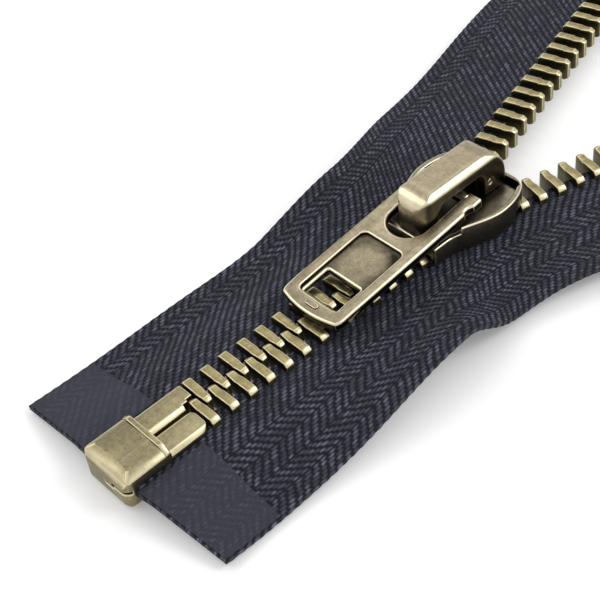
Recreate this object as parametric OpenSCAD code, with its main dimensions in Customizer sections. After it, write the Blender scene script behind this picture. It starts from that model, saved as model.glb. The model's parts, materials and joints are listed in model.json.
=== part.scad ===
// Separating metal zipper for a jacket: two corded tapes, two rows of clamped
// teeth, a box-and-pin separating end and an auto-lock slider with a pull tab.
// The closed chain runs along +Y on the centre line, the slider's crown is up
// (+Z), and z = 0 is the surface that the zipper lies on. Heights along the
// zipper are counted from the tapes' cut lower end, and zip_frame() then moves
// the origin to the middle of the whole length.

/* [Chain] */
// Width over the two closed rows of teeth
chain_w = 8.2; // [7.6:0.1:9]
// Spacing of the teeth along one row
pitch = 3.05; // [2.9:0.05:3.3]
// Height of a tooth through the tape
tooth_h = 3.2; // [2.8:0.1:3.4]
// Thickness of a tooth along the chain
tooth_t = 1.3; // [1.2:0.05:1.55]
// How far a tooth's head reaches past the centre line
head_reach = 0.95; // [0.7:0.05:1.1]
// Number of teeth in the right row
teeth_n = 49; // [40:1:60]

/* [Tape] */
// Half of the whole width, from the centre line to a tape's outer edge
tape_half = 18.6; // [16:0.1:20]
// Thickness of the woven tape
tape_t = 0.7; // [0.5:0.05:0.8]
// Diameter of the cord woven into the tape's inner edge
cord_d = 1.8; // [1.4:0.1:2]
// Whole length, from the box to the tapes' upper ends
whole_l = 181.2; // [175:0.1:200]
// Length of the stiff film on each lower tape end
film_len = 10.8; // [8:0.1:20]
// Thickness of the film
film_t = 0.1; // [0.05:0.05:0.2]

/* [Fork] */
// Height above the lower end where the rows part, inside the slider
fork_y = 57.5; // [57.4:0.1:57.6]
// Angle that each open row makes with the chain
fork_a = 15; // [12:0.5:15.5]

/* [Slider] */
// Length of the slider's body
slider_l = 18; // [17:0.5:19]
// Half width at the narrow rear end
rear_half = 5.2; // [5.1:0.05:5.5]
// Half width over the shoulders
shoulder_half = 7.5; // [7:0.1:8]
// Half width at the flat of the nose
nose_half = 3.2; // [2.5:0.1:3.6]
// Thickness of the lower plate
plate_low = 1.1; // [0.9:0.1:1.1]
// Thickness of the upper plate
plate_top = 1.3; // [1:0.1:1.5]
// Height of the crown above the upper plate
crown_h = 6.4; // [6:0.1:7]
// Width of the crown
crown_w = 5.6; // [5:0.1:5.8]

/* [Pull tab] */
// Width of the tab
tab_w = 10.4; // [10:0.1:12]
// Length from the hinge line to the tip
tab_l = 27.2; // [24:0.1:30]
// Thickness of the tab over its rim
tab_t = 1.4; // [1.2:0.1:1.4]
// Slope of the tab at rest
tab_a = 6.45; // [6:0.05:6.6]

/* [Box and pins] */
// Half width of the retainer box
box_half = 4.3; // [4.2:0.1:4.6]
// Height of the box
box_h = 6; // [5.8:0.1:6.2]
// Height of the two pins
pin_h = 3; // [2.6:0.1:3.2]

/* [Hidden] */
$fn = 48;
eps = 0.02;
mid_z = 3;                       // middle of the tape, teeth, pins and box
chain_half = chain_w / 2;
cord_x = 2.3;                    // the cord's centre, from the centre line
right_y0 = 13.75;                // first right tooth
left_y0 = right_y0 + pitch / 2;  // first left tooth
stroke = 30 * pitch;             // the slider's closing travel
end_y = fork_y + stroke;         // where the top ends join the open rows
closed_n = 15;                   // right teeth below the fork
stop_y = fork_y + stroke + 12.3; // lower face of the top stops
stop_l = 2.8;
stop_h = 4.2;
seam_gap = 0.3;                  // gap where two lengths of tape meet
left_seam = fork_y - 1;          // left seam, clear of the first open tooth
flat_x = 7.6;                    // the tape is level with the chain up to here
drape_x = 12.6;                  // and lies on the surface beyond here
slot_z = 0.65;                   // half height of the slider's and box's side slots
clearance = 0.03;                // between a clamped piece and the tape
dimple_r = 0.62;                 // dimple in a tooth's upper side
dimple_deep = 0.45;
nib_r = 0.25;                    // nib on a tooth's lower side
nib_out = 0.35;
leg_bevel = 0.5;                 // bevel at the end of a tooth's legs
head_drop = 0.35;                // how much lower a tooth is at its head
slider_y0 = fork_y - 6.5;
slider_y1 = slider_y0 + slider_l;
chan_low = plate_low;
chan_top = 2 * mid_z - plate_low;
plate_z = chan_top + plate_top;  // upper face of the upper plate
rim_h = 0.4;
rim_w = 0.8;
wing_h = 1.3;                    // the rim's height over the shoulders
pivot_y = 59.4;                  // hinge of the pull tab
pivot_z = 8.6;
eye_y = 64.6;                    // hinge of the lock pawl
eye_z = 8.2;
eye_r = 0.4;                     // radius of the pawl's pin
crown_y0 = 51.3;                 // front of the crown
crown_y1 = 67.9;                 // back of the crown
crown_top = plate_z + crown_h;
roof_z = 11.7;                   // ceiling of the groove under the crown's roof
roof_y = 65.4;                   // back end of that groove
window_y0 = 54.4;                // window between the crown's two legs
window_y1 = 63.6;
box_y0 = -0.6;
box_y1 = 6.5;
mid_y = box_y0 + whole_l / 2;
// the tapes' cut upper ends, counted along the rows as if they were closed
tape_end = fork_y + (box_y0 + whole_l - fork_y + (cord_x - cord_d / 2) * sin(fork_a)) / cos(fork_a);

// ---------- placing ----------

// Moves the origin from the lower end to the middle of the whole length
module zip_frame() {
    translate([0, -mid_y, 0]) children();
}

// Turns a right-hand row out of the closed chain, about the fork
module opened() {
    translate([0, fork_y, 0]) rotate([0, 0, -fork_a]) translate([0, -fork_y, 0]) children();
}

// Copies a right-hand shape to the left side
module left() {
    mirror([1, 0, 0]) children();
}

// A flat outline in Y and Z, given its thickness along X about the centre line
module across(w) {
    rotate([90, 0, 90]) translate([0, 0, -w / 2]) linear_extrude(w) children();
}

// A flat outline in X and Z, drawn out along Y from y0 to y1
module along(y0, y1) {
    translate([0, y1, 0]) rotate([90, 0, 0]) linear_extrude(y1 - y0) children();
}

// ---------- tape ----------

// Section of a right-hand tape: level at the cord, then down to the surface
module tape_section() {
    translate([cord_x, mid_z]) circle(d = cord_d);
    polygon([[cord_x, mid_z + tape_t / 2], [cord_x, mid_z - tape_t / 2],
             [flat_x, mid_z - tape_t / 2], [drape_x, 0], [tape_half, 0],
             [tape_half, tape_t], [drape_x, tape_t], [flat_x, mid_z + tape_t / 2]]);
}

// Everything beyond a slanted seam through the centre line at height y
module beyond_seam(y, slant, gap) {
    translate([0, y, -1]) rotate([0, 0, slant]) translate([-5, gap / 2, 0]) cube([40, 200, 12]);
}

// Everything below such a seam
module below_seam(y, slant, gap) {
    translate([0, y, -1]) rotate([0, 0, slant]) translate([-5, -200 - gap / 2, 0]) cube([40, 200, 12]);
}

module tape_lower(seam) {
    difference() {
        intersection() {
            along(0, fork_y + 10) tape_section();
            below_seam(seam, -fork_a / 2, seam_gap);
        }
        translate([0, -1, 0]) cube([box_half + 0.2, 2.6, 8]);
    }
}

module tape_branch(seam) {
    opened() intersection() {
        along(fork_y - 10, end_y) tape_section();
        beyond_seam(seam, fork_a / 2, seam_gap);
    }
}

module tape_top() {
    opened() along(end_y + seam_gap, tape_end) tape_section();
}

// Stiff film bonded on the upper face of a right-hand tape's lower end
module film() {
    top = mid_z + tape_t / 2;
    along(0.2, film_len) polygon([[box_half + 0.4, top], [flat_x, top], [drape_x, tape_t],
        [tape_half - 0.2, tape_t], [tape_half - 0.2, tape_t + film_t],
        [drape_x, tape_t + film_t], [flat_x, top + film_t], [box_half + 0.4, top + film_t]]);
}

module tape_left_lower() { color("#3c3d44") zip_frame() left() tape_lower(left_seam); }
module tape_left_branch() { color("#3c3d44") zip_frame() left() tape_branch(left_seam); }
module tape_left_end() { color("#3c3d44") zip_frame() left() tape_top(); }
module tape_right_lower() { color("#3c3d44") zip_frame() tape_lower(fork_y); }
module tape_right_branch() { color("#3c3d44") zip_frame() tape_branch(fork_y); }
module tape_right_end() { color("#3c3d44") zip_frame() tape_top(); }
module film_left() { color("#4a4c54") zip_frame() left() film(); }
module film_right() { color("#4a4c54") zip_frame() film(); }

// ---------- teeth ----------

// Cavity in a metal piece that is clamped round the cord and the tape
module clamp_room(y0, y1, x1) {
    along(y0, y1) {
        translate([cord_x, mid_z]) circle(d = cord_d + 2 * clearance);
        translate([cord_x, mid_z - tape_t / 2 - clearance])
            square([x1 - cord_x + 1, tape_t + 2 * clearance]);
    }
}

// One right-hand tooth with its legs round the cord and its head on the centre line
module tooth(y) {
    half = tooth_t / 2;
    neck = half - 0.06;
    tip = half - 0.25;
    high = tooth_h / 2;
    side = high - head_drop;
    shoulder = 1.3;
    difference() {
        intersection() {
            translate([0, y, mid_z - high]) linear_extrude(tooth_h)
                polygon([[chain_half, -half], [chain_half, half], [shoulder, half],
                         [head_reach, neck], [-head_reach, tip], [-head_reach, -tip],
                         [head_reach, -neck], [shoulder, -half]]);
            along(y - 1, y + 1)
                polygon([[-head_reach, mid_z - side], [0, mid_z - high],
                         [chain_half - leg_bevel, mid_z - high], [chain_half, mid_z - side],
                         [chain_half, mid_z + side], [chain_half - leg_bevel, mid_z + high],
                         [0, mid_z + high], [-head_reach, mid_z + side]]);
        }
        clamp_room(y - 1, y + 1, chain_half);
        // dimple that takes the next tooth's nib
        translate([0, y + half - dimple_deep, mid_z]) rotate([-90, 0, 0]) cylinder(r = dimple_r, h = 1);
    }
    // nib
    translate([0, y - half - nib_out, mid_z]) rotate([-90, 0, 0])
        cylinder(r = nib_r, h = nib_out + leg_bevel);
}

// A run of right-hand teeth, counted from the lower end of their row
module teeth(y0, first, n) {
    color("#9a8a5c") for (k = [first : first + n - 1]) tooth(y0 + k * pitch);
}

module teeth_left_closed() { zip_frame() left() teeth(left_y0, 0, closed_n - 1); }
module teeth_left_open() { zip_frame() left() opened() teeth(left_y0, closed_n - 1, 30); }
module teeth_left_end() { zip_frame() left() opened() teeth(left_y0, closed_n + 29, teeth_n - closed_n - 30); }
module teeth_right_closed() { zip_frame() teeth(right_y0, 0, closed_n); }
module teeth_right_open() { zip_frame() opened() teeth(right_y0, closed_n, 30); }
module teeth_right_end() { zip_frame() opened() teeth(right_y0, closed_n + 30, teeth_n - closed_n - 30); }

// Stop clamped over the cord above the last tooth: too high to enter the slider
module top_stop() {
    opened() difference() {
        translate([1.2, stop_y, mid_z - stop_h / 2]) cube([3, stop_l, stop_h]);
        clamp_room(stop_y - 1, stop_y + stop_l + 1, 5);
    }
}

module top_stop_left() { color("#9a8a5c") zip_frame() left() top_stop(); }
module top_stop_right() { color("#9a8a5c") zip_frame() top_stop(); }

// ---------- separating end ----------

// Bar with bevelled long edges, from its plan outline
module pin_bar(x0, x1) {
    b = 0.5;
    intersection() {
        translate([0, 0, mid_z - pin_h / 2]) linear_extrude(pin_h) children();
        along(0, 20) polygon([[x0, mid_z - pin_h / 2 + b], [x0 + b, mid_z - pin_h / 2],
            [x1 - b, mid_z - pin_h / 2], [x1, mid_z - pin_h / 2 + b],
            [x1, mid_z + pin_h / 2 - b], [x1 - b, mid_z + pin_h / 2],
            [x0 + b, mid_z + pin_h / 2], [x0, mid_z + pin_h / 2 - b]]);
    }
}

// Fixed pin on the left tape: its upper inner corner is cut back for the first tooth
module retainer_pin() {
    color("#8f8159") zip_frame() left() difference() {
        pin_bar(0.25, chain_half)
            polygon([[0.25, 1.7], [chain_half, 1.7], [chain_half, 14.3], [1.35, 14.3], [1.35, 13.3],
                     [0.95, 13.3], [0.95, 12.5], [0.25, 12.5]]);
        clamp_room(1, 15, chain_half);
    }
}

// Loose pin on the right tape, with a round lead-in at its top
module insertion_pin() {
    color("#8f8159") zip_frame() difference() {
        pin_bar(0.25, chain_half) {
            translate([0.25, 1.7]) square([chain_half - 0.25, 9.6]);
            translate([1.55, 11.4]) circle(r = 1.3);
            translate([chain_half - 1.3, 11.4]) circle(r = 1.3);
            translate([1.55, 11.2]) square([chain_half - 2.85, 1.5]);
        }
        clamp_room(1, 14, chain_half);
    }
}

// Box formed round the two pins: open towards the chain, slotted for the tapes
module retainer_box() {
    low = mid_z - box_h / 2;
    high = low + box_h;
    bevel = 1.1;
    drop = 0.9;
    ridge = 0.14;
    lip_l = 0.8;
    shell = high - 0.12;
    room = 0.05;
    seam_x = 1.2;
    seam_w = 0.35;
    color("#9a8a5c") zip_frame() difference() {
        intersection() {
            union() {
                along(box_y0, box_y1) polygon([[-box_half, low + drop], [-box_half + bevel, low],
                    [box_half - bevel, low], [box_half, low + drop], [box_half, shell - drop],
                    [box_half - bevel, shell - ridge], [0, shell], [-box_half + bevel, shell - ridge],
                    [-box_half, shell - drop]]);
                // lip round the mouth
                along(box_y1 - lip_l, box_y1) polygon([[-box_half, mid_z], [box_half, mid_z],
                    [box_half, high - drop], [box_half - bevel, high],
                    [-box_half + bevel, high], [-box_half, high - drop]]);
            }
            across(20) polygon([[box_y0, low + 1], [box_y0 + 1.5, low], [box_y1, low], [box_y1, high],
                [box_y0 + 1.9, high], [box_y0 + 0.5, high - 0.9], [box_y0, high - 2]]);
            // rounded end corners
            linear_extrude(high + 1) translate([0, box_y0 + 10]) rounded(2 * box_half, 20, 1.2);
        }
        translate([-chain_half - room, 1.55, mid_z - pin_h / 2 - 0.2])
            cube([chain_w + 2 * room, 8, pin_h + 0.4]);
        translate([-10, 1.55, mid_z - slot_z]) cube([20, 8, 2 * slot_z]);
        // seam between the folded halves, stepped across the end face
        translate([seam_x - 1.2, box_y0 - 1, mid_z - 0.5]) cube([1.5, 2, seam_w]);
        translate([seam_x, box_y0 - 1, mid_z - 0.5]) cube([seam_w, 2, 0.9]);
        translate([seam_x, box_y0 - 1, mid_z + room]) cube([6, 2, seam_w]);
    }
}

// ---------- slider ----------

// Half width of the slider's plates at a distance s from the rear end
function half_at(s) =
    s < 2 ? rear_half
  : s < 11 ? rear_half + (shoulder_half - rear_half) * (1 - cos(180 * (s - 2) / 9)) / 2
  : nose_half + (shoulder_half - nose_half) * sqrt(max(0, 1 - pow((s - 11) / (slider_l - 11), 2)));

// Plan outline of the plates, inset by d
module plan(d = 0) {
    side = [for (i = [0 : 30]) let (s = d + (slider_l - 2 * d) * (1 - pow(1 - i / 30, 1.35)))
            [half_at(s) - d, slider_y0 + s]];
    polygon(concat(side, [for (i = [30 : -1 : 0]) [-side[i][0], side[i][1]]]));
}

// Room for the rows of teeth: straight at the rear, forked towards the nose
module channel_plan() {
    room = chain_half + 0.3;
    inner = head_reach + 0.3;
    reach = slider_l + 2;
    translate([-room, slider_y0 - 1]) square([2 * room, 7.5]);
    for (s = [1, -1])
        translate([0, fork_y]) rotate(-s * fork_a)
            translate([s > 0 ? -inner : -room, -1]) square([room + inner, reach]);
}

// Wedge that parts the rows and joins the plates
module wedge() {
    blunt = 0.2;
    inset = (head_reach + 0.3) / cos(fork_a);
    tip = fork_y + (blunt + inset) / tan(fork_a);
    wide = (slider_y1 - fork_y) * tan(fork_a) - inset;
    intersection() {
        polygon([[-blunt, tip], [blunt, tip], [wide, slider_y1], [-wide, slider_y1]]);
        plan();
    }
}

module slider_body() {
    color("#a39468") zip_frame() difference() {
        union() {
            linear_extrude(plate_low) plan();
            translate([0, 0, chan_top]) linear_extrude(plate_top) plan();
            // raised rim round the upper plate
            translate([0, 0, plate_z - eps]) linear_extrude(rim_h + eps) difference() {
                plan();
                plan(rim_w);
            }
            // the rim stands higher beside the pull tab
            translate([0, 0, plate_z - eps]) linear_extrude(wing_h + eps) difference() {
                plan();
                plan(rim_w);
                square([tab_w + 0.8, 400], center = true);
            }
            // flanges that keep the teeth in
            for (z = [[chan_low - eps, mid_z - slot_z], [mid_z + slot_z, chan_top + eps]])
                translate([0, 0, z[0]]) linear_extrude(z[1] - z[0]) difference() {
                    plan();
                    channel_plan();
                    translate([-20, slider_y0 + 14]) square([40, 20]);
                }
            translate([0, 0, chan_low - eps]) linear_extrude(chan_top - chan_low + 2 * eps) wedge();
        }
        // window for the lock pawl's tip
        translate([-0.9, 54.2, chan_top - 1]) cube([1.8, 1.5, 5]);
    }
}

// Points of a quarter circle, from one angle to another
function quarter(y, z, r, from, to, n) =
    [for (i = [0 : n]) let (a = from + (to - from) * i / n) [y + r * cos(a), z + r * sin(a)]];

// Crown over the pull tab's cross bar: two legs, a window and an inner groove
module crown() {
    edge = 0.8;
    front_r = 2.9;
    back_r = 4.2;
    corner_r = 2.2;
    side = crown_w / 2;
    color("#a39468") zip_frame() difference() {
        intersection() {
            across(crown_w) polygon(concat(
                [[crown_y0 + 0.5, plate_z], [crown_y0, plate_z + 2.5]],
                quarter(crown_y0 + front_r, crown_top - front_r, front_r, 180, 90, 6),
                quarter(crown_y1 - 0.2 - back_r, crown_top - back_r, back_r, 90, 0, 7),
                [[crown_y1, plate_z]]));
            // plan with a rounded front
            translate([0, 0, plate_z - 1]) linear_extrude(crown_h + 2) {
                translate([-side, crown_y0 + corner_r]) square([crown_w, 20]);
                translate([corner_r - side, crown_y0]) square([crown_w - 2 * corner_r, 3]);
                for (x = [-1, 1] * (side - corner_r))
                    translate([x, crown_y0 + corner_r]) circle(r = corner_r);
            }
            // bevelled upper edges
            along(crown_y0 - 1, crown_y1 + 1)
                polygon([[-side, plate_z - 1], [side, plate_z - 1], [side, crown_top - edge],
                         [side - edge, crown_top], [edge - side, crown_top], [-side, crown_top - edge]]);
        }
        // window
        across(20) polygon([[window_y0, plate_z - 1], [window_y0, 9], [window_y0 + 1, 10.2],
            [window_y1 - 1, 10.2], [window_y1, 9.2], [window_y1, plate_z - 1]]);
        // groove for the pawl and its spring
        across(1.8) polygon([[window_y0 + 0.1, 8], [window_y0 + 0.1, roof_z], [roof_y, roof_z],
            [roof_y + 0.6, plate_z - 1], [60, plate_z - 1], [60, 8]]);
        // bore for the pawl's pin
        translate([-10, eye_y, eye_z]) rotate([0, 90, 0]) cylinder(r = eye_r + 0.02, h = 20);
    }
}

// Strip that lifts with the pull and drops its tip between the teeth
module lock_pawl() {
    strip_top = 10.85;
    strip_t = 0.5;
    tip_z = 4.75;
    tip_back = 0.3;     // slant that keeps the rising tip off the crown's front leg
    tip_y = 54.6;
    tip_t = 0.6;
    color("#8d8058") zip_frame() difference() {
        across(1.2) {
            translate([eye_y, eye_z]) circle(r = 0.95);
            polygon([[eye_y + 0.5, eye_z + 0.8], [eye_y - 2.2, strip_top], [tip_y + 1.6, strip_top],
                     [tip_y, strip_top - 1.6], [tip_y + tip_back, tip_z],
                     [tip_y + tip_back + tip_t, tip_z],
                     [tip_y + tip_t, strip_top - 1.8], [tip_y + 1.9, strip_top - strip_t],
                     [eye_y - 2.5, strip_top - strip_t], [eye_y - 0.6, eye_z + 0.2]]);
        }
        translate([-10, eye_y, eye_z]) rotate([0, 90, 0]) cylinder(r = eye_r + 0.06, h = 20);
    }
}

module lock_pin() {
    color("#8d8058") zip_frame() translate([-crown_w / 2 + 0.1, eye_y, eye_z]) rotate([0, 90, 0])
        cylinder(r = eye_r, h = crown_w - 0.2);
}

// Leaf spring under the crown's roof, bent down at its free end to press on the pawl
module lock_spring() {
    spring_t = 0.15;
    upper = roof_z - 0.05;
    color("#b9b9b4") zip_frame() across(1)
        polygon([[roof_y - 0.2, upper], [59.4, upper], [57.6, upper - 0.65], [57.7, upper - 0.7],
                 [59.5, upper - spring_t], [roof_y - 0.2, upper - spring_t]]);
}

// ---------- pull tab ----------

// Outline of the tab, inset by d, with its hinge line on y = 0
module tab_plan(d = 0) {
    half = tab_w / 2 - d;
    low = -tab_l + d;
    r = 1.9 - d / 2;
    arch = 16;
    intersection() {
        union() {
            translate([-half, low + r]) square([2 * half, tab_l + 0.9 - 2 * d - r]);
            translate([-half + r, low]) square([2 * half - 2 * r, r + 1]);
            for (x = [-1, 1] * (half - r)) translate([x, low + r]) circle(r = r);
        }
        // slightly arched tip
        union() {
            translate([0, arch - tab_l + d]) circle(r = arch, $fn = 96);
            translate([-20, arch - tab_l + d]) square([40, 60]);
        }
    }
}

// Ring hole round the crown's front leg
module ring_plan() {
    r = 3.1;
    translate([-r, -7.6]) square([2 * r, 6.7]);
    translate([0, -7.6]) circle(r = r);
}

module rounded(x, y, r) {
    for (sx = [-1, 1]) for (sy = [-1, 1])
        translate([sx * (x / 2 - r), sy * (y / 2 - r)]) circle(r = r);
    square([x - 2 * r, y], center = true);
    square([x, y - 2 * r], center = true);
}

module pull_tab() {
    panel_y = -18.7;
    panel_l = 12.4;
    panel_deep = 0.45;
    window_y = -22.3;
    head_w = 6.8;
    stud_y = -25.8;
    stud_r = 0.4;
    color("#a39468") zip_frame() translate([0, pivot_y, pivot_z]) rotate([tab_a, 0, 0]) {
        difference() {
            translate([0, 0, -tab_t / 2]) linear_extrude(tab_t) difference() {
                tab_plan();
                ring_plan();
                // waists below the flared head
                for (x = [-1, 1]) translate([x * (tab_w / 2 + 0.85), -1.7]) circle(r = 1.25);
            }
            // sunken panel
            translate([0, panel_y, tab_t / 2 - panel_deep]) linear_extrude(1) rounded(7.3, panel_l, 0.9);
            // window
            translate([0, window_y, -2]) linear_extrude(4) rounded(6, 4.6, 0.3);
            // the head is cut away under the crown, leaving room for a round bar
            translate([-(head_w - 0.6) / 2, -1.2, -2]) cube([head_w - 0.6, 3, 4]);
        }
        translate([-head_w / 2, 0, 0]) rotate([0, 90, 0]) cylinder(r = 0.8, h = head_w);
        // small oval stud on the lower rim
        translate([0, stud_y, tab_t / 2 - eps]) linear_extrude(0.2) {
            square([1.4, 2 * stud_r], center = true);
            for (x = [-0.7, 0.7]) translate([x, 0]) circle(r = stud_r);
        }
    }
}

tape_left_lower();
tape_left_branch();
tape_left_end();
tape_right_lower();
tape_right_branch();
tape_right_end();
film_left();
film_right();
teeth_left_closed();
teeth_left_open();
teeth_left_end();
teeth_right_closed();
teeth_right_open();
teeth_right_end();
top_stop_left();
top_stop_right();
retainer_box();
retainer_pin();
insertion_pin();
slider_body();
crown();
lock_pawl();
lock_pin();
lock_spring();
pull_tab();
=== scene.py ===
# %% [markdown]
# # A separating metal zipper, half open
# The zipper lies on a table with its rows of teeth closed up to the slider and open beyond it.
# Its metal is cast and stamped brass with an antique finish, and its two tapes are woven in a
# herringbone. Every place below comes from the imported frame, so that the looks fit its joints.

import json
import math
import random

import bmesh
import bpy
import numpy as np
from mathutils import Matrix, Vector

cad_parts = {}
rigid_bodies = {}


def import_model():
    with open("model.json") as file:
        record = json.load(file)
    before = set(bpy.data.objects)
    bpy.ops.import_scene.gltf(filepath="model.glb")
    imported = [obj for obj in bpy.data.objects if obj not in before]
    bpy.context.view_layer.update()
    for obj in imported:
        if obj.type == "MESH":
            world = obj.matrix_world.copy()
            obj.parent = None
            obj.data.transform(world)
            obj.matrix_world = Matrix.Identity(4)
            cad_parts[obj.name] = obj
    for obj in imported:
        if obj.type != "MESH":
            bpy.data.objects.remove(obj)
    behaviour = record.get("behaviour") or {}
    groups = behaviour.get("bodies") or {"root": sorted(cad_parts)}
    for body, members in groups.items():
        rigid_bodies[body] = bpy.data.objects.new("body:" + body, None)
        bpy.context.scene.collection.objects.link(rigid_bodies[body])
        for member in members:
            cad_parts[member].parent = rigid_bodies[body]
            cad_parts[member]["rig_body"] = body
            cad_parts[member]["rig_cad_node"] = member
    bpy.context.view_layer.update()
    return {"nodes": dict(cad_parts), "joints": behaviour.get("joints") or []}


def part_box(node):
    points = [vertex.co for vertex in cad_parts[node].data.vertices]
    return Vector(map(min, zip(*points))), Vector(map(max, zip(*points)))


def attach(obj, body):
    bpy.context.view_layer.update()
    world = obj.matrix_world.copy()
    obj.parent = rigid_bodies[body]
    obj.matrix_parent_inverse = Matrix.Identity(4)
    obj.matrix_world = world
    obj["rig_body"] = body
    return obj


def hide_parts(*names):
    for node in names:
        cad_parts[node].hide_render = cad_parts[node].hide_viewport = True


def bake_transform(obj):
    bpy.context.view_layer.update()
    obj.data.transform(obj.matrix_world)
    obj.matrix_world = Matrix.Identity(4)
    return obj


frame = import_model()
MM = 0.001

# %% [markdown]
# ## Camera, floor and light
# The zipper is seen from its lower right, from about hand height. The camera is turned by two
# angles and a small roll, which are easier to correct than a matrix. A pale floor that glows a
# little and wide, soft lamps give brass something light to reflect, as a light table does.

# %% Camera
CAMERA_AT = Vector((99.7, -134.6, 131.1)) * MM
AZIMUTH = math.radians(52.5)
ELEVATION = math.radians(44.3)
ROLL = math.radians(-8.1)
LENS = 84

flat_part = math.cos(ELEVATION)
away = Vector((math.sin(AZIMUTH) * flat_part, -math.cos(AZIMUTH) * flat_part, math.sin(ELEVATION)))
level = Vector((0, 0, 1)).cross(away).normalized()
raised = away.cross(level)
camera_x = level * math.cos(ROLL) + raised * math.sin(ROLL)
camera_y = raised * math.cos(ROLL) - level * math.sin(ROLL)

bpy.ops.object.camera_add(location=CAMERA_AT)
camera = bpy.context.object
turned = Matrix((camera_x, camera_y, away)).transposed().to_4x4()
camera.matrix_world = Matrix.Translation(CAMERA_AT) @ turned
camera.data.lens = LENS
camera.data.clip_start = 0.01
camera.data.clip_end = 10
bpy.context.scene.camera = camera
print("camera is", round(CAMERA_AT.length, 3), "m from the zipper's middle")

# %% Floor
FLOOR_SIDE = 3.0
FLOOR_GAP = 0.1 * MM
bpy.ops.mesh.primitive_plane_add(size=FLOOR_SIDE, location=(0, 0, -FLOOR_GAP))
floor = bpy.context.object
floor.name = "floor"
floor_paint = bpy.data.materials.new("pale_floor")
floor_paint.use_nodes = True
floor_shader = floor_paint.node_tree.nodes["Principled BSDF"]
floor_shader.inputs["Base Color"].default_value = (0.9, 0.9, 0.9, 1)
floor_shader.inputs["Roughness"].default_value = 0.7
floor_shader.inputs["Emission Color"].default_value = (1, 1, 1, 1)
floor_shader.inputs["Emission Strength"].default_value = 0.15
floor.data.materials.append(floor_paint)


# %% Lamps
def softbox(name, place, size, power):
    """A square lamp that looks at the slider."""
    bpy.ops.object.light_add(type="AREA", location=Vector(place))
    lamp = bpy.context.object
    lamp.name = name
    lamp.data.shape = "SQUARE"
    lamp.data.size = size
    lamp.data.energy = power
    lamp.rotation_euler = (-Vector(place)).to_track_quat("-Z", "Y").to_euler()
    return lamp


softbox("key_light", (0.33, 0.28, 0.48), 0.26, 1.1)
softbox("fill_light", (-0.35, -0.30, 0.45), 0.40, 0.5)
softbox("far_light", (-0.28, 0.24, 0.50), 0.22, 0.2)

world = bpy.data.worlds.new("studio")
bpy.context.scene.world = world
world.use_nodes = True
studio = world.node_tree.nodes["Background"]
studio.inputs["Color"].default_value = (1.0, 1.0, 1.0, 1)
studio.inputs["Strength"].default_value = 0.80
bpy.context.scene.view_settings.view_transform = "Standard"

# %% [markdown]
# ## Writing materials as formulas
# A weave or a patina is a sum of masks, and a sum is easier to read as a formula than as a web of
# nodes. `Wire` stands for the output of a node, and its operators add Math nodes. `Paint` starts a
# material and has the one method that makes every other kind of node.


# %% Wires and paints
class Wire:
    """A number that changes over a surface. Sums and products of wires add their Math nodes."""

    def __init__(self, paint, socket):
        self.paint = paint
        self.socket = socket

    def math(self, operation, *values):
        return self.paint.node("ShaderNodeMath", {"operation": operation}, dict(enumerate(values)))

    def __add__(self, other):
        return self.math("ADD", self, other)

    __radd__ = __add__

    def __sub__(self, other):
        return self.math("SUBTRACT", self, other)

    def __rsub__(self, other):
        return self.math("SUBTRACT", other, self)

    def __mul__(self, other):
        return self.math("MULTIPLY", self, other)

    __rmul__ = __mul__

    def __truediv__(self, other):
        return self.math("DIVIDE", self, other)

    def __pow__(self, other):
        return self.math("POWER", self, other)

    def floor(self):
        return self.math("FLOOR", self)

    def fraction(self):
        return self.math("FRACT", self)

    def size(self):
        return self.math("ABSOLUTE", self)

    def at_least(self, other):
        return self.math("MAXIMUM", self, other)

    def at_most(self, other):
        return self.math("MINIMUM", self, other)

    def between(self, low, high):
        """A soft step: 0 below low and 1 above high."""
        sockets = {"Value": self, "From Min": low, "From Max": high}
        return self.paint.node("ShaderNodeMapRange", {"interpolation_type": "SMOOTHSTEP"}, sockets)


class Paint:
    """A material, and the one method that adds nodes to it."""

    def __init__(self, name, **constants):
        self.material = bpy.data.materials.new(name)
        self.material.use_nodes = True
        self.tree = self.material.node_tree
        self.shader = self.tree.nodes["Principled BSDF"]
        for socket, value in constants.items():
            self.shader.inputs[socket.replace("_", " ")].default_value = value

    def node(self, kind, settings=None, sockets=None, out=0):
        made = self.tree.nodes.new(kind)
        for name, value in (settings or {}).items():
            setattr(made, name, value)
        for name, value in (sockets or {}).items():
            self.plug(value, made.inputs[name])
        return Wire(self, made.outputs[out])

    def plug(self, value, socket):
        if isinstance(value, Wire):
            self.tree.links.new(value.socket, socket)
        else:
            socket.default_value = value

    def feed(self, socket, wire):
        self.plug(wire, self.shader.inputs[socket])

    def mix(self, share, first, second):
        """The first colour where share is 0 and the second where it is 1."""
        return self.node("ShaderNodeMix", {"data_type": "RGBA"}, {0: share, 6: first, 7: second}, 2)

    def tint(self, colour, strength):
        """A colour made lighter or darker by a wire."""
        grey = self.node("ShaderNodeCombineColor", None, {0: strength, 1: strength, 2: strength})
        settings = {"data_type": "RGBA", "blend_type": "MULTIPLY"}
        return self.node("ShaderNodeMix", settings, {0: 1.0, 6: colour, 7: grey}, 2)

    def place(self):
        return self.node("ShaderNodeTexCoord", out="Object")

    def noise(self, where, scale, detail=2.0, stretch=None):
        """Cloudy noise, with scale in features per metre and an optional stretch along the axes."""
        if stretch:
            where = self.node("ShaderNodeMapping", None, {"Vector": where, "Scale": stretch})
        return self.node("ShaderNodeTexNoise", None, {"Vector": where, "Scale": scale, "Detail": detail})

    def bump(self, height, strength, distance):
        settings = {"Strength": strength, "Distance": distance, "Height": height}
        self.feed("Normal", self.node("ShaderNodeBump", None, settings))


print("wires and paints are ready")

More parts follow.
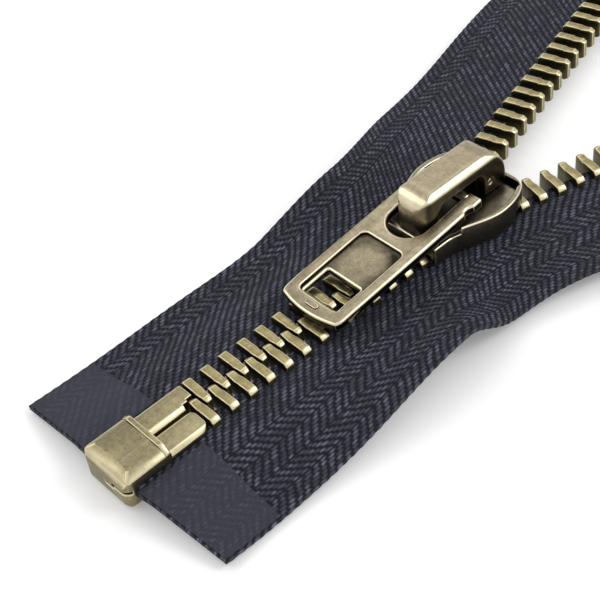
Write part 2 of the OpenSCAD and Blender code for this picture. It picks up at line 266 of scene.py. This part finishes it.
# %% [markdown]
# ## Antique brass
# Antique brass is plated dark all over and then rubbed. The rubbing reaches edges first, which come
# up cream, then the upper faces, which turn a speckled beige. Walls, corners and places under other
# pieces are painted dark, partly as the plating kept there and partly as painted shade, and faces at
# a middle tilt get a painted highlight. Each piece carries a `rubbed` attribute on the faces of its
# rolled edges, ambient occlusion finds the corners, and a short formula for each piece says what
# else is painted dark with plating and shade.

# %% Where a point is
CORNER_REACH = 1.1 * MM
EDGE_REACH = 0.25 * MM


class Spot:
    """Where a point of a piece is, in millimetres, and which way its surface faces."""

    def __init__(self, paint):
        place = paint.node("ShaderNodeTexCoord", out="Object")
        facing = paint.node("ShaderNodeTexCoord", out="Normal")
        self.place = place
        self.x, self.y, self.z = (self.part(paint, place, axis) / MM for axis in range(3))
        turned = (self.part(paint, facing, axis) for axis in range(3))
        self.facing_x, self.facing_y, self.facing_z = turned

    @staticmethod
    def part(paint, vector, axis):
        return paint.node("ShaderNodeSeparateXYZ", None, {0: vector}, axis)


# %% The brass paint
def antique_brass(name, face, dark, bright, plating_and_shade, worn=1.0):
    """A plated and rubbed brass with painted shade and a painted highlight. The fifth argument takes the
    spot and the clouds and gives 0 to 1 of dark plating and painted shade.
    """
    paint = Paint(name, Metallic=1.0)
    spot = Spot(paint)
    clouds = paint.noise(spot.place, 420, 5)
    specks = paint.noise(spot.place, 4800, 3)
    brushing = paint.noise(spot.place, 2400, 2, stretch=(1.0, 0.08, 1.0))
    nicks = paint.noise(spot.place, 1500, 5).between(0.60, 0.72)
    open_air = paint.node("ShaderNodeAmbientOcclusion", {"only_local": True, "samples": 8},
                          {"Distance": CORNER_REACH}, 1)
    thickness = paint.node("ShaderNodeAmbientOcclusion",
                           {"only_local": True, "inside": True, "samples": 8},
                           {"Distance": EDGE_REACH}, 1)
    rolled = paint.node("ShaderNodeAttribute", {"attribute_name": "rubbed"}, out=2)
    # Corners found by ambient occlusion are painted dark, partly as plating kept in hollows and partly
    # as painted shade.
    corner = (1 - open_air + (clouds - 0.5) * 0.3).between(0.16, 0.52)
    turned_up = spot.facing_z.between(-0.25, 0.45)
    # Faces at a middle tilt get a painted highlight, cream like the rubbed edges. Both are weaker on
    # walls and are scaled by the last argument.
    tilt_highlight = spot.facing_z.between(0.20, 0.55) * (1 - spot.facing_z.between(0.80, 0.96))
    edge = (rolled * (0.55 + 0.7 * specks)).at_least(tilt_highlight * (0.25 + 1.0 * clouds))
    edge = (edge + (1 - thickness).between(0.45, 0.95) * 0.4).at_most(1)
    edge = edge * (0.3 + 0.7 * turned_up) * worn
    mottle = paint.noise(spot.place, 1700, 3)
    tone = 0.62 + 0.46 * clouds + 0.6 * (specks - 0.5) + 0.6 * (mottle - 0.5)
    tone = tone + 0.26 * (brushing - 0.5) - 0.22 * nicks
    colour = paint.tint(face, tone)
    # Dark plating and painted shade, where each piece's own formula puts them.
    colour = paint.mix(plating_and_shade(spot, clouds).at_most(1), colour, dark)
    colour = paint.mix(edge, colour, bright)
    colour = paint.mix(corner, colour, dark)
    paint.feed("Base Color", colour)
    sheen = 0.30 + 0.14 * clouds + 0.18 * (specks - 0.5) + 0.22 * corner - 0.05 * edge
    paint.feed("Roughness", sheen)
    paint.bump(specks * 0.7 + brushing * 0.5 - nicks * 0.5, 0.4, 0.014 * MM)
    return paint.material


print("the brass paint is ready")

# %% [markdown]
# ## Where the plating and painted shade stay
# The slider's plate is painted dark under the crown and the tab, as plating and painted shade, and
# so is the crown's leg inside the tab's ring. Walls and the teeth's faces that look along the chain
# are painted dark too, partly as plating and partly as painted shade. These places are worked out
# from the boxes of the imported pieces.

# %% One paint for each kind of piece
# The tab lies at a slope on the chain, and the golden middle of its panel is given in mm.
TAB_SLOPE = math.radians(6.45)
PANEL_FROM_HINGE = 17.0
PANEL_HALF_WIDTH = 3.6
PANEL_HALF_LENGTH = 4.6
# The box's folded seam lies a little to one side of the chain's middle, in mm.
BOX_SEAM = (1.1, 1.3)

crown_low, crown_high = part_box("crown")
plate_top = crown_low.z / MM
joints = {joint["name"]: joint for joint in frame["joints"]}
_, HINGE_Y, HINGE_Z = (side / MM for side in joints["pull_swing"]["pos_m"])
crown_middle = (crown_low.y + crown_high.y) / 2 / MM
crown_reach = (crown_high.y - crown_low.y) / 2 / MM


# Painted shade and plating on the slider plate's walls and under the crown.
def beside_crown(spot, clouds):
    walls = 1 - spot.facing_z.between(-0.1, 0.7)
    under = 1 - ((spot.y - crown_middle) / crown_reach).size().between(0.75, 1.0)
    inside = 1 - spot.x.size().between(3.4, 5.0)
    return (walls * 0.55).at_least(under * inside * 0.95) + (clouds - 0.5) * 0.4


# Painted shade and plating on the crown's flanks and underside, and on its low part by the plate.
def on_crown(spot, clouds):
    flanks = spot.facing_x.size().between(0.75, 0.95) + (0 - spot.facing_z).between(0.2, 0.6)
    low = 1 - spot.z.between(plate_top + 1.6, plate_top + 3.4)
    return (flanks * 0.9).at_least(low * 0.95) + (clouds - 0.5) * 0.35


# Painted shade and plating on the tab's walls. The sunk panel keeps more plating towards its margins.
def on_tab(spot, clouds):
    walls = 1 - spot.facing_z.size().between(0.1, 0.7)
    height = (spot.z - HINGE_Z) * math.cos(TAB_SLOPE) - (spot.y - HINGE_Y) * math.sin(TAB_SLOPE)
    sunk = 1 - height.between(0.30, 0.50)
    off_side = spot.x / PANEL_HALF_WIDTH
    off_end = (spot.y - HINGE_Y + PANEL_FROM_HINGE) / PANEL_HALF_LENGTH
    rubbed_less = (off_side * off_side + off_end * off_end).between(0.2, 1.1)
    return walls * 0.6 + sunk * (0.06 + 0.62 * rubbed_less) + (clouds - 0.44).at_least(0) * 1.4


# Painted shade and plating on the fittings' walls, and painted shade on the box to one side of its seam.
def on_fittings(spot, clouds):
    walls = 1 - spot.facing_z.between(-0.1, 0.6)
    painted_shade_beside_seam = (1 - spot.x.between(*BOX_SEAM)) * 0.16
    return walls * 0.28 + painted_shade_beside_seam + (clouds - 0.45).at_least(0) * 0.7


# Painted shade and plating on the teeth's walls, most on the faces that look to the neighbouring teeth.
def on_teeth(spot, clouds):
    walls = 1 - spot.facing_z.between(0.1, 0.6)
    along_chain = spot.facing_y.size().between(0.5, 0.8)
    return walls * 0.35 + walls * along_chain * 0.5 + (clouds - 0.5) * 0.3


# The dark colours here are the plating and also painted shade on walls, in corners and under other
# pieces.
PLATING_AND_SHADE = (0.022, 0.019, 0.013, 1)
PLATE_BRASS = antique_brass("plate_brass", (0.35, 0.305, 0.22, 1), PLATING_AND_SHADE, (0.92, 0.83, 0.61, 1),
                            beside_crown)
CROWN_BRASS = antique_brass("crown_brass", (0.44, 0.37, 0.25, 1), PLATING_AND_SHADE, (0.94, 0.84, 0.60, 1),
                            on_crown)
TAB_BRASS = antique_brass("tab_brass", (0.47, 0.40, 0.27, 1), PLATING_AND_SHADE, (0.94, 0.85, 0.62, 1),
                          on_tab)
FITTING_BRASS = antique_brass("fitting_brass", (0.43, 0.37, 0.215, 1), (0.05, 0.042, 0.02, 1),
                              (0.80, 0.71, 0.47, 1), on_fittings, 0.85)
TEETH_BRASS = antique_brass("teeth_brass", (0.44, 0.37, 0.185, 1), (0.035, 0.03, 0.012, 1),
                            (0.90, 0.80, 0.52, 1), on_teeth, 0.8)


def spring_steel():
    paint = Paint("spring_steel", Metallic=1.0)
    grain = paint.noise(paint.place(), 4000, 3, stretch=(1.0, 0.1, 1.0))
    paint.feed("Base Color", paint.tint((0.58, 0.58, 0.57, 1), 0.85 + 0.3 * grain))
    paint.feed("Roughness", 0.25 + 0.2 * grain)
    return paint.material


SPRING_STEEL = spring_steel()
print("metal paints:", PLATE_BRASS.name, CROWN_BRASS.name, TAB_BRASS.name, FITTING_BRASS.name,
      TEETH_BRASS.name, SPRING_STEEL.name)

# %% [markdown]
# ## Herringbone tape
# The tape is a twill: each lengthwise thread shows for two picks and dips under one, and the thread
# beside it does the same one pick later. Where that order turns round, the slanted ribs meet in a V.
# The weave is worked out from the tape's own UV map, which is in millimetres: across from the
# chain's middle, and along the tape. So it bends with the cloth.

# %% The woven paint
# Steps in mm; a float is the stretch of a thread that shows, and a seam is where the twill turns.
THREAD_STEP = 0.45
PICK_STEP = 0.45
FLOAT_SHARE = 0.78
LEAN = 0.30
SEAM_HALF = 0.14


def woven(name, first_slant, turns, film=False):
    """The tape's paint. The ribs start with a slant of 1 or -1, and turn round at each of turns."""
    paint = Paint(name, Specular_IOR_Level=0.14)
    mapped = paint.node("ShaderNodeUVMap", {"uv_map": "weave"})
    wobble = paint.noise(mapped, 0.35, 2)
    jitter = paint.noise(mapped, 1.6, 1)
    across = paint.node("ShaderNodeSeparateXYZ", None, {0: mapped}, 0) + (wobble - 0.5) * 0.25
    along = paint.node("ShaderNodeSeparateXYZ", None, {0: mapped}, 1)
    along = along + (wobble - 0.5) * 0.8 + (jitter - 0.5) * 0.45
    thread = (across / THREAD_STEP).floor()
    side = (thread + 0.5) * THREAD_STEP
    slant = side * first_slant
    lean = first_slant
    seam = 0.0
    for index, turn in enumerate(turns):
        change = 2 * first_slant * (1 if index % 2 else -1)
        slant = slant + (side - turn).at_least(0) * change
        lean = lean + side.math("GREATER_THAN", side, turn) * change
        seam = seam + (1 - (across - turn).size().between(SEAM_HALF * 0.3, SEAM_HALF))
    period = 3 * PICK_STEP
    rows = (along + slant / THREAD_STEP * PICK_STEP) / period
    in_float = rows.fraction() / FLOAT_SHARE * 2 - 1
    from_middle = ((across / THREAD_STEP).fraction() - 0.5) * 2 + lean * in_float * LEAN
    rise = (1 - in_float * in_float).at_least(0) ** 0.5
    crown = (1 - from_middle * from_middle * 0.9).at_least(0) ** 0.5
    picked = paint.node("ShaderNodeCombineXYZ", None, {0: thread, 1: rows.floor()})
    own = paint.node("ShaderNodeTexWhiteNoise", {"noise_dimensions": "2D"}, {"Vector": picked}, 0)
    sunken_row = (((rows / 2).fraction() - 0.5).size() * 2).between(0.5, 1.0)
    height = rise * crown * (1 - 0.8 * seam) * (1 - 0.3 * sunken_row) * (0.72 + 0.4 * own)
    hairs = paint.noise(mapped, 9, 4)
    # The threads' crowns are painted lighter and the gaps between them darker, as painted shade, with
    # painted glints on the crowns.
    painted_glint = height * height * height * own
    light = 0.20 + 0.72 * height + 1.20 * painted_glint + 0.9 * (hairs - 0.5)
    base = (0.053, 0.055, 0.076, 1)
    if film:
        light = 0.62 + 0.12 * height + 0.35 * painted_glint + 1.1 * (hairs - 0.5)
        base = (0.055, 0.057, 0.078, 1)
    paint.feed("Base Color", paint.tint(base, light))
    paint.feed("Roughness", 0.50 + 0.2 * hairs if film else 0.62 + 0.2 * hairs)
    paint.bump(height + (hairs - 0.5) * 0.35, 0.35 if film else 0.9, (0.05 if film else 0.15) * MM)
    return paint.material


LEFT_TURNS = (14.4, 16.5)
RIGHT_TURNS = (8.5, 10.9, 13.6, 16.2)
LEFT_CLOTH = woven("left_cloth", -1, LEFT_TURNS)
RIGHT_CLOTH = woven("right_cloth", 1, RIGHT_TURNS)
LEFT_FILM = woven("left_film", -1, LEFT_TURNS, film=True)
RIGHT_FILM = woven("right_film", 1, RIGHT_TURNS, film=True)
print("threads per 10 mm:", round(10 / THREAD_STEP), "picks per 10 mm:", round(10 / PICK_STEP))

# %% [markdown]
# ## Sizes from the frame
# The fork is where the two rows part, inside the slider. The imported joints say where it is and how
# far the rows open, and the tape pieces say how wide and long the tapes are.

# %% Sizes
FORK = Vector(joints["right_fork"]["pos_m"])
OPENING = math.radians(joints["right_fork"]["range_deg"][1])
TOP_TURN = Vector(joints["right_top_turn"]["pos_m"])
MID_Z = FORK.z
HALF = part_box("tape_right_lower")[1].x
LOWER_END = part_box("tape_right_lower")[0].y
ROW_LENGTH = (TOP_TURN - FORK).length
print("fork at", round(FORK.y / MM, 1), "mm, opening", round(math.degrees(OPENING), 1), "degrees")


# %% Shared helpers
def clear_selection():
    """Nothing stays selected, so that an operator acts only on what is chosen next."""
    if bpy.context.object and bpy.context.object.mode != "OBJECT":
        bpy.ops.object.mode_set(mode="OBJECT")
    bpy.ops.object.select_all(action="DESELECT")


def choose(piece):
    clear_selection()
    piece.select_set(True)
    bpy.context.view_layer.objects.active = piece


def apply_modifier(piece, kind, **settings):
    choose(piece)
    modifier = piece.modifiers.new(kind.title(), kind)
    for name, value in settings.items():
        setattr(modifier, name, value)
    bpy.ops.object.modifier_apply(modifier=modifier.name)


# A rolled edge takes less than half of a narrow face, so that two edges don't meet across it.
FACE_SHARE = 0.45


def weigh_edges(piece, radius, sharper_than):
    """Gives each sharp outer edge a bevel weight, less where its faces are too narrow to round."""
    shape = bmesh.new()
    shape.from_mesh(piece.data)
    weight = shape.edges.layers.float.new("bevel_weight_edge")
    for edge in shape.edges:
        if len(edge.link_faces) == 2 and edge.calc_face_angle_signed(0) > math.radians(sharper_than):
            room = min(face.calc_area() for face in edge.link_faces) / edge.calc_length()
            edge[weight] = min(1, FACE_SHARE * room / radius)
    shape.to_mesh(piece.data)
    shape.free()


def roll_edges(piece, radius, sharper_than, segments=3):
    """Rounds the sharp outer edges, as tumbling does to a casting, and marks them as rubbed."""
    weigh_edges(piece, radius, sharper_than)
    stand_in = bpy.data.materials.new("stand_in")
    for _ in range(2):
        piece.data.materials.append(stand_in)
    apply_modifier(piece, "BEVEL", width=radius, segments=segments, limit_method="WEIGHT",
                   use_clamp_overlap=False, harden_normals=False, material=1)
    marks = [float(face.material_index) for face in piece.data.polygons]
    piece.data.attributes.new("rubbed", "FLOAT", "FACE").data.foreach_set("value", marks)
    piece.data.polygons.foreach_set("material_index", [0] * len(marks))
    piece.data.materials.clear()
    bpy.data.materials.remove(stand_in)
    choose(piece)
    bpy.ops.object.shade_smooth_by_angle(angle=math.radians(40))


# Turns a point's bulge, in voxels, into how far it is rubbed.
BULGE_GAIN = 1.6


def soften(piece, grain, passes):
    """Melts a shape's corners as in a worn casting, and marks how far each point bulges."""
    apply_modifier(piece, "REMESH", mode="VOXEL", voxel_size=grain)
    apply_modifier(piece, "SMOOTH", factor=0.5, iterations=passes)
    count = len(piece.data.vertices)
    place = np.empty(3 * count)
    facing = np.empty(3 * count)
    ends = np.empty(2 * len(piece.data.edges), dtype=int)
    piece.data.vertices.foreach_get("co", place)
    piece.data.vertices.foreach_get("normal", facing)
    piece.data.edges.foreach_get("vertices", ends)
    place = place.reshape(-1, 3)
    ends = ends.reshape(-1, 2)
    around = np.zeros((count, 3))
    for one, other in (ends.T, ends.T[::-1]):
        np.add.at(around, one, place[other] - place[one])
    bulge = -(around * facing.reshape(-1, 3)).sum(axis=1) / grain
    marks = np.clip(bulge * BULGE_GAIN, 0, 1)
    piece.data.attributes.new("rubbed", "FLOAT", "POINT").data.foreach_set("value", marks)
    piece.data.polygons.foreach_set("use_smooth", [True] * len(piece.data.polygons))


def from_cad(node, name):
    """A copy of a CAD shape whose loose triangles are merged into whole faces."""
    clear_selection()
    source = frame["nodes"][node]
    piece = source.copy()
    piece.data = source.data.copy()
    piece.name = name
    piece.parent = None
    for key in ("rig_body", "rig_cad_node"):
        del piece[key]
    bpy.context.scene.collection.objects.link(piece)
    choose(piece)
    piece.data.materials.clear()
    bpy.ops.object.mode_set(mode="EDIT")
    bpy.ops.mesh.select_all(action="SELECT")
    bpy.ops.mesh.customdata_custom_splitnormals_clear()
    bpy.ops.mesh.remove_doubles(threshold=0.002 * MM)
    bpy.ops.mesh.dissolve_limited(angle_limit=math.radians(0.8))
    bpy.ops.object.mode_set(mode="OBJECT")
    return piece


def fit(piece, body, material, slot, *nodes):
    """Gives a finished piece its paint, its body and the CAD nodes that it stands for."""
    piece.data.materials.clear()
    piece.data.materials.append(material)
    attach(piece, body)
    if nodes:
        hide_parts(*nodes)
    print(piece.name, "has", len(piece.data.polygons), "faces")
    return piece


# %% [markdown]
# ## Metal pieces with rolled edges
# Their shapes are right in the frame, and only their edges are too sharp to catch light. Each row
# gives the piece, the body that it rides on, its paint, its slot and its edges' radius in mm.

# %% Rolled pieces
ROLLED = [
    ("retainer_box", "zipper", FITTING_BRASS, "fittings", 0.20),
    ("retainer_pin", "zipper", FITTING_BRASS, "fittings", 0.12),
    ("insertion_pin", "zipper", FITTING_BRASS, "fittings", 0.12),
    ("slider_body", "slider", PLATE_BRASS, "slider", 0.18),
    ("lock_pin", "slider", FITTING_BRASS, "fittings", 0.08),
    ("lock_spring", "slider", SPRING_STEEL, "spring", 0.02),
    ("lock_pawl", "pawl", FITTING_BRASS, "fittings", 0.06),
    ("pull_tab", "pull", TAB_BRASS, "slider", 0.30),
    ("top_stop_left", "left_top", TEETH_BRASS, "teeth", 0.25),
    ("top_stop_right", "right_top", TEETH_BRASS, "teeth", 0.25),
]
for node, body, material, slot, radius in ROLLED:
    piece = from_cad(node, node + "_shape")
    roll_edges(piece, radius * MM, 36)
    fit(piece, body, material, slot, node)

# %% [markdown]
# ## The crown
# The crown is a casting that hands and the pull have worn, so that it has no crisp edge left. A
# bevel can't follow the meeting of its rounded front, arched roof and chamfers, so the shape is
# remeshed in small voxels and smoothed, which melts every corner alike.

# %% Crown
GRAIN = 0.13 * MM
PASSES = 24
crown = from_cad("crown", "crown_shape")
soften(crown, GRAIN, PASSES)
fit(crown, "slider", CROWN_BRASS, "slider", "crown")

# %% [markdown]
# ## Teeth
# Each tooth is a short bar, clamped over the cord by two legs, with a narrower and lower head. One
# tooth is modelled at the origin and copied along the rows.

# %% One tooth
# In mm: half height, half thickness, the head's tip, where the legs leave the solid part, and half
# of the slot that takes the tape.
TOOTH_HIGH = 1.6
TOOTH_HALF = 0.65
TOOTH_TIP = -0.95
TOOTH_ROOT = 1.3
SLOT_HALF = 0.38
LEG_STEPS = (1.0, 1.3, 0.5)
TOOTH_EDGE = 0.13 * MM


def model_tooth():
    clear_selection()
    bpy.ops.mesh.primitive_cube_add(size=1, location=((TOOTH_ROOT + TOOTH_TIP) / 2 * MM, 0, 0))
    tooth = bpy.context.object
    tooth.name = "tooth"
    tooth.scale = ((TOOTH_ROOT - TOOTH_TIP) * MM, 2 * TOOTH_HALF * MM, 2 * TOOTH_HIGH * MM)
    bpy.ops.object.transform_apply(location=True, rotation=True, scale=True)
    bpy.ops.object.mode_set(mode="EDIT")
    for height in (-SLOT_HALF, SLOT_HALF):
        bpy.ops.mesh.select_all(action="SELECT")
        bpy.ops.mesh.bisect(plane_co=(0, 0, height * MM), plane_no=(0, 0, 1))
    for side in (1.05, -0.35, 0.45):
        bpy.ops.mesh.select_all(action="SELECT")
        bpy.ops.mesh.bisect(plane_co=(side * MM, 0, 0), plane_no=(1, 0, 0))
    bpy.ops.mesh.select_all(action="DESELECT")
    bpy.ops.object.mode_set(mode="OBJECT")
    for face in tooth.data.polygons:
        face.select = face.normal.x > 0.9 and abs(face.center.z) > SLOT_HALF * MM
    bpy.ops.object.mode_set(mode="EDIT")
    for reach in LEG_STEPS:
        bpy.ops.mesh.extrude_region_move(TRANSFORM_OT_translate={"value": (reach * MM, 0, 0)})
    bpy.ops.object.mode_set(mode="OBJECT")
    for vertex in tooth.data.vertices:
        x, y, z = (value / MM for value in vertex.co)
        top = abs(z) > 1.5
        if x < -0.9:
            y *= 0.62
            z *= 0.80
        elif x < -0.3:
            y *= 0.86
        elif x < 0.5:
            y *= 0.90
            z *= 0.93 if top else 1
        elif x < 1.2:
            z *= 0.93 if top else 1
        elif x > 4.0:
            z *= 0.72 if top else 1
        vertex.co = Vector((x, y, z)) * MM
    roll_edges(tooth, TOOTH_EDGE, 25, segments=2)
    return tooth


tooth = model_tooth()
print("one tooth has", len(tooth.data.polygons), "faces")


# %% Rows of teeth
PITCH = 3.05 * MM
FIRST_RIGHT = LOWER_END + 13.75 * MM
FIRST_LEFT = FIRST_RIGHT + PITCH / 2
ROWS = [
    ("teeth_right_closed", "zipper", 1, 0, 15),
    ("teeth_right_open", "right_row", 1, 15, 30),
    ("teeth_right_end", "right_top", 1, 45, 4),
    ("teeth_left_closed", "zipper", -1, 0, 14),
    ("teeth_left_open", "left_row", -1, 14, 30),
    ("teeth_left_end", "left_top", -1, 44, 4),
]
hand = random.Random(7)


def opened(side):
    """Turns a straight row out of the chain, about the fork."""
    turn = Matrix.Rotation(-side * OPENING, 4, "Z")
    return Matrix.Translation(FORK) @ turn @ Matrix.Translation(-FORK)


def copy_tooth(side, distance, is_open):
    """One more tooth with its own mesh, set a little unevenly as a press does."""
    piece = tooth.copy()
    piece.data = tooth.data.copy()
    bpy.context.scene.collection.objects.link(piece)
    tilt = Matrix.Rotation(math.radians(hand.uniform(-1.2, 1.2)), 4, "Z")
    facing = Matrix.Diagonal((side, 1, 1, 1))
    place = Matrix.Translation((0, distance, MID_Z + hand.uniform(-0.04, 0.04) * MM))
    turned = opened(side) if is_open else Matrix.Identity(4)
    piece.data.transform(turned @ place @ facing @ tilt)
    if side < 0:
        piece.data.flip_normals()
    return piece


for node, body, side, first, count in ROWS:
    start = FIRST_RIGHT if side > 0 else FIRST_LEFT
    copies = [copy_tooth(side, start + number * PITCH, body != "zipper")
              for number in range(first, first + count)]
    clear_selection()
    for piece in copies:
        piece.select_set(True)
    bpy.context.view_layer.objects.active = copies[0]
    bpy.ops.object.join()
    row = bpy.context.object
    row.name = node + "_row"
    fit(row, body, TEETH_BRASS, "teeth", node)
bpy.data.objects.remove(tooth)

# %% [markdown]
# ## Tapes
# A tape is a long strip of cloth, which the teeth clamp by its inner edge. It is level where the
# chain grips it and sinks to the table towards its outer margin. Near the slider it has to turn
# sideways, and cloth can't shorten along one edge, so that edge buckles up in a wave. A strap like
# this is modelled directly as a grid, because a remesh for a simulation would lose its edges. The
# grid is laid out in the straight tape, and each point is then lifted, moved in by what the lift
# takes up, and turned about the fork.

# %% The lie of a tape
LEVEL_TO = 7.4 * MM
CLOTH = 0.62 * MM
INNER_EDGE = 1.9 * MM
BLEND_REACH = 8 * MM
LOW = LOWER_END - FORK.y


def hump(y, middle, before, after):
    """A smooth rise and fall that is 1 at the middle."""
    reach = np.where(y < middle, before, after)
    return np.exp(-((y - middle) / reach) ** 2)


def edge_height(side, y):
    """Height of the outer margin along a straight tape, counted from the fork."""
    if side > 0:
        lift = 5.2 * hump(y, -0.0145, 0.019, 0.0075) + 1.9 * hump(y, 0.012, 0.016, 0.05)
        lift = lift + 0.7 * hump(y, LOW, 0.01, 0.006)
    else:
        lift = 5.4 * hump(y, -0.001, 0.0125, 0.024) + 1.9 * hump(y, 0.042, 0.02, 0.03)
    ripple = 0.25 * np.sin(y / 0.0062) + 0.2 * np.sin(y / 0.0147 + 1.3 * side)
    return (0.55 + lift + np.maximum(ripple, -0.2)) * MM


def turn_share(across, y):
    """How much of the opening a point has turned through: sharp at the chain, gradual outside."""
    reach = 0.9 * across
    step = np.clip((y + reach) / (2 * reach), 0, 1)
    return step * step * (3 - 2 * step)


def lay(side, across, y):
    """Places of points of a straight tape, given by their distances across and along."""
    outer = edge_height(side, y)
    reach = np.where(outer > MID_Z, HALF - LEVEL_TO, 0.62 * (HALF - LEVEL_TO))
    slope = np.clip((across - LEVEL_TO) / reach, 0, 1)
    straight = np.clip((across - LEVEL_TO) / (HALF - LEVEL_TO), 0, 1)
    stiff = hump(y, LOW, 0.01, 0.018)
    fall = stiff * straight + (1 - stiff) * slope * slope * (3 - 2 * slope)
    z = MID_Z + (outer - MID_Z) * fall
    steps = np.diff(across, axis=0)
    drops = np.diff(z, axis=0)
    x = np.concatenate([across[:1], np.sqrt(np.maximum(steps**2 - drops**2, 0))]).cumsum(axis=0)
    angle = -side * OPENING * turn_share(across, y)
    x = side * x
    turned_x = x * np.cos(angle) - y * np.sin(angle)
    turned_y = x * np.sin(angle) + y * np.cos(angle)
    return np.stack([turned_x, turned_y + FORK.y, z], axis=-1)


# The selvage is the tape's outer margin, where the returning threads make small loops.
SELVAGE = 0.5 * MM
LOOP_DEPTH = 0.045 * MM
LOOP_REACH = 0.235 * MM


def strip(name, side, inner, outer, low, high, columns, rows, above=0.0, slant=0.0):
    """A grid of cloth between two distances across and two along, laid and given a UV map."""
    clear_selection()
    bpy.ops.mesh.primitive_grid_add(x_subdivisions=columns, y_subdivisions=rows, size=1)
    piece = bpy.context.object
    piece.name = name
    flat = np.array([vertex.co for vertex in piece.data.vertices]) + (0.5, 0.5, 0)
    order = np.lexsort((np.rint(flat[:, 1] * rows), np.rint(flat[:, 0] * columns)))
    shape = (columns + 1, rows + 1)
    across = (inner + flat[order, 0] * (outer - inner)).reshape(shape)
    along = (low + flat[order, 1] * (high - low)).reshape(shape)
    along = along + slant * across * (high - along) / (high - low)
    selvage = np.clip((across - HALF + SELVAGE) / SELVAGE, 0, 1)
    across = across + selvage * LOOP_DEPTH * np.sin(along / LOOP_REACH)
    places = lay(side, across, along)
    places[..., 2] += above
    flat[order] = places.reshape(-1, 3)
    for vertex, place in zip(piece.data.vertices, flat):
        vertex.co = place
    layer = piece.data.uv_layers[0]
    layer.name = "weave"
    for loop in piece.data.loops:
        u, v = layer.data[loop.index].uv
        from_middle = (inner + u * (outer - inner)) / MM
        from_fork = (low + v * (high - low)) / MM
        layer.data[loop.index].uv = (from_middle, from_fork)
    if side < 0:
        piece.data.flip_normals()
    return piece


# %% Cloth
def thicken(piece, thickness):
    apply_modifier(piece, "SOLIDIFY", thickness=thickness, offset=0)
    choose(piece)
    bpy.ops.object.shade_smooth_by_angle(angle=math.radians(50))


SEAM = ROW_LENGTH - BLEND_REACH
UPPER_END = (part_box("tape_right_end")[1].y - FORK.y) / math.cos(OPENING) - 0.15 * MM
TAPES = [
    ("right", 1, RIGHT_CLOTH, RIGHT_FILM, 0.12),
    ("left", -1, LEFT_CLOTH, LEFT_FILM, 0.035),
]
# Cells of the grids, across and along
ACROSS, LOWER_ROWS, UPPER_ROWS, FILM_CELLS = 44, 420, 130, 36
FILM_THICK = 0.08 * MM
FILM_ABOVE = CLOTH / 2 + 0.05 * MM
FILM_INNER = 4.8 * MM
FILM_MARGIN = 0.25 * MM
for name, side, cloth, film, slant in TAPES:
    row = name + "_row"
    lower = strip(name + "_tape", side, INNER_EDGE, HALF, LOW, SEAM, ACROSS, LOWER_ROWS,
                  slant=slant)
    thicken(lower, CLOTH)
    lower.data.materials.append(cloth)
    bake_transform(lower)
    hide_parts(f"tape_{name}_lower", f"tape_{name}_branch")

    upper = strip(name + "_tape_end", side, INNER_EDGE, HALF, SEAM, UPPER_END, ACROSS,
                  UPPER_ROWS)
    thicken(upper, CLOTH)
    upper.data.materials.append(cloth)
    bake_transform(upper)
    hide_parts(f"tape_{name}_end")

    low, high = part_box("film_" + name)
    coat = strip(name + "_film_coat", side, FILM_INNER, HALF - FILM_MARGIN, LOW + 0.2 * MM,
                 high.y - FORK.y, FILM_CELLS, FILM_CELLS, FILM_ABOVE, slant)
    thicken(coat, FILM_THICK)
    coat.data.materials.append(film)
    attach(coat, "zipper")
    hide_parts("film_" + name)
    print(name, "tape:", len(lower.data.polygons) + len(upper.data.polygons), "faces")
